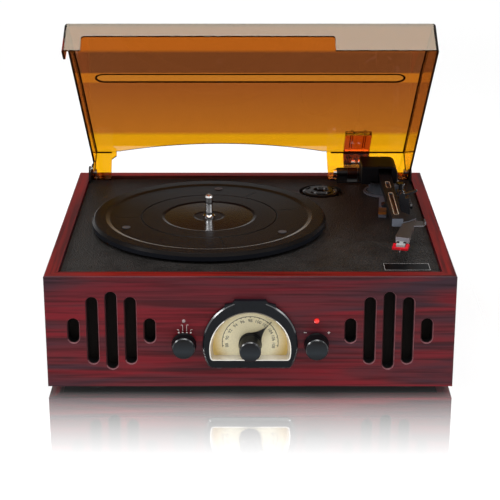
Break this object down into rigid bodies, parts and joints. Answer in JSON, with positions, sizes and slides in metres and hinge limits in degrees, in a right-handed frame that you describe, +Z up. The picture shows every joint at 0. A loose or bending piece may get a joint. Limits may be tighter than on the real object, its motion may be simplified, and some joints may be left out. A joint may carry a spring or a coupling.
{
  "type": "record player",
  "caption": "Compact record player in a red wooden cabinet, with belt-driven platter, straight tonearm, arched radio dial, slotted speakers and hinged amber dust cover.",
  "frame": {"origin": "centre of the cabinet's footprint, on the plane that the feet stand on", "axes": "+X to the right of someone facing the dial, +Y to the rear, +Z up along the spindle"},
  "size_m": [0.37, 0.3508, 0.3213],
  "materials": {
    "red_wood": "satin",
    "plain_wood": "raw",
    "hardboard": "raw",
    "rubber": "matt",
    "zinc_steel": "plated",
    "black_steel": "satin",
    "chrome": "polished",
    "nickel": "plated",
    "brass": "turned",
    "nylon": "moulded",
    "grained_black": "leather grain",
    "satin_black": "satin",
    "gloss_black": "gloss",
    "silver_plastic": "metallised",
    "cream_plate": "printed",
    "red_lens": "clear",
    "black_cloth": "woven",
    "black_paper": "paper",
    "green_board": "lacquered",
    "amber_acrylic": "clear tinted",
    "white_plastic": "moulded",
    "red_plastic": "moulded",
    "grey_plastic": "satin"
  },
  "bodies": {
    "chassis": {"front_panel": "red_wood", "rear_panel": "red_wood", "side_panels": "red_wood", "bottom_board": "hardboard", "feet": "rubber", "case_fasteners": "zinc_steel", "deck_battens": "plain_wood", "deck_plate": "grained_black", "deck_badge": "satin_black", "bearing_bush": "brass", "thrust_washer": "nylon", "motor": "zinc_steel", "motor_grommets": "rubber", "drive_belt": "rubber", "hinge_brackets": "black_steel", "hinge_pins": "chrome", "sprung_hinge_base": "black_steel", "sprung_hinge_pin": "chrome", "tonearm_base": "satin_black", "arm_rest": "satin_black", "lift_housing": "satin_black", "rotary_controls": "zinc_steel", "dial_bezel": "gloss_black", "dial_rim": "silver_plastic", "dial_plate": "cream_plate", "tuning_capacitor": "nylon", "indicator_lamps": "red_lens", "speaker_cloths": "black_cloth", "speaker_frames": "zinc_steel", "speaker_cones": "black_paper", "circuit_board": "green_board", "board_standoffs": "nylon", "socket_plate": "satin_black", "rear_sockets": "nickel"},
    "lid": {"dust_cover": "amber_acrylic", "sprung_hinge_leaf": "black_steel", "leaf_screws": "chrome"},
    "platter": {"platter": "gloss_black", "platter_pads": "rubber", "spindle": "chrome", "spindle_circlip": "zinc_steel"},
    "motor_rotor": {"motor_pulley": "brass"},
    "arm_yoke": {"tonearm_yoke": "satin_black", "yaw_shaft": "zinc_steel", "pitch_pin": "zinc_steel"},
    "tonearm": {"tonearm_tube": "satin_black", "headshell": "satin_black", "cartridge": "white_plastic", "stylus_carrier": "red_plastic", "stylus": "zinc_steel"},
    "arm_clip": {"arm_clip": "satin_black"},
    "lift_bar": {"lift_bar": "satin_black"},
    "cue_lever": {"cue_lever": "satin_black"},
    "speed_lever": {"speed_lever": "grey_plastic"},
    "selector": {"selector_knob": "gloss_black"},
    "volume": {"volume_knob": "gloss_black"},
    "tuning": {"tuning_knob": "gloss_black", "tuning_shaft": "zinc_steel", "dial_pointer": "satin_black"},
    "adapter": {"record_adapter": "satin_black"}
  },
  "joints": [
    {"name": "lid_hinge", "type": "hinge", "parent": "chassis", "child": "lid", "pos_m": [0, 0.138, 0.1205], "axis": [-1, 0, 0], "range_deg": [-41.2, 28.8]},
    {"name": "platter_spin", "type": "hinge", "parent": "chassis", "child": "platter", "pos_m": [-0.0405, -0.0045, 0.12], "axis": [0, 0, 1], "continuous": true},
    {"name": "motor_spin", "type": "hinge", "parent": "chassis", "child": "motor_rotor", "pos_m": [-0.10555, 0.06055, 0.105], "axis": [0, 0, 1], "continuous": true},
    {"name": "arm_swing", "type": "hinge", "parent": "chassis", "child": "arm_yoke", "pos_m": [0.14, 0.1, 0.125], "axis": [0, 0, 1], "range_deg": [-45, 0]},
    {"name": "arm_lift", "type": "hinge", "parent": "arm_yoke", "child": "tonearm", "pos_m": [0.14, 0.102, 0.1325], "axis": [-1, 0, 0], "range_deg": [0, 14]},
    {"name": "clip_hinge", "type": "hinge", "parent": "chassis", "child": "arm_clip", "pos_m": [0.1502, 0.008, 0.1366], "axis": [0, -1, 0], "range_deg": [0, 160]},
    {"name": "cue_lever", "type": "hinge", "parent": "chassis", "child": "cue_lever", "pos_m": [0.1614, 0.0723, 0.115], "axis": [-1, 0, 0], "range_deg": [0, 60]},
    {"name": "lift_slide", "type": "slide", "parent": "chassis", "child": "lift_bar", "axis": [0, 0, 1], "range_m": [0, 0.0012]},
    {"name": "speed_lever", "type": "hinge", "parent": "chassis", "child": "speed_lever", "pos_m": [0.14, 0.1, 0.111], "axis": [0, 0, 1], "range_deg": [-20, 0]},
    {"name": "selector_turn", "type": "hinge", "parent": "chassis", "child": "selector", "pos_m": [-0.06, -0.16, 0.0482], "axis": [0, -1, 0], "range_deg": [-60, 30]},
    {"name": "volume_turn", "type": "hinge", "parent": "chassis", "child": "volume", "pos_m": [0.06, -0.16, 0.0482], "axis": [0, -1, 0], "range_deg": [-150, 150]},
    {"name": "tuning_turn", "type": "hinge", "parent": "chassis", "child": "tuning", "pos_m": [0, -0.16, 0.0482], "axis": [0, -1, 0], "range_deg": [-54, 140]},
    {"name": "adapter_lift", "type": "slide", "parent": "chassis", "child": "adapter", "axis": [0, 0, 1], "range_m": [0, 0.03]}
  ],
  "couplings": [
    {"joint": "motor_spin", "follows": "platter_spin", "ratio": 13.461},
    {"joint": "cue_lever", "follows": "lift_slide", "rad_per_m": 872.66}
  ]
}
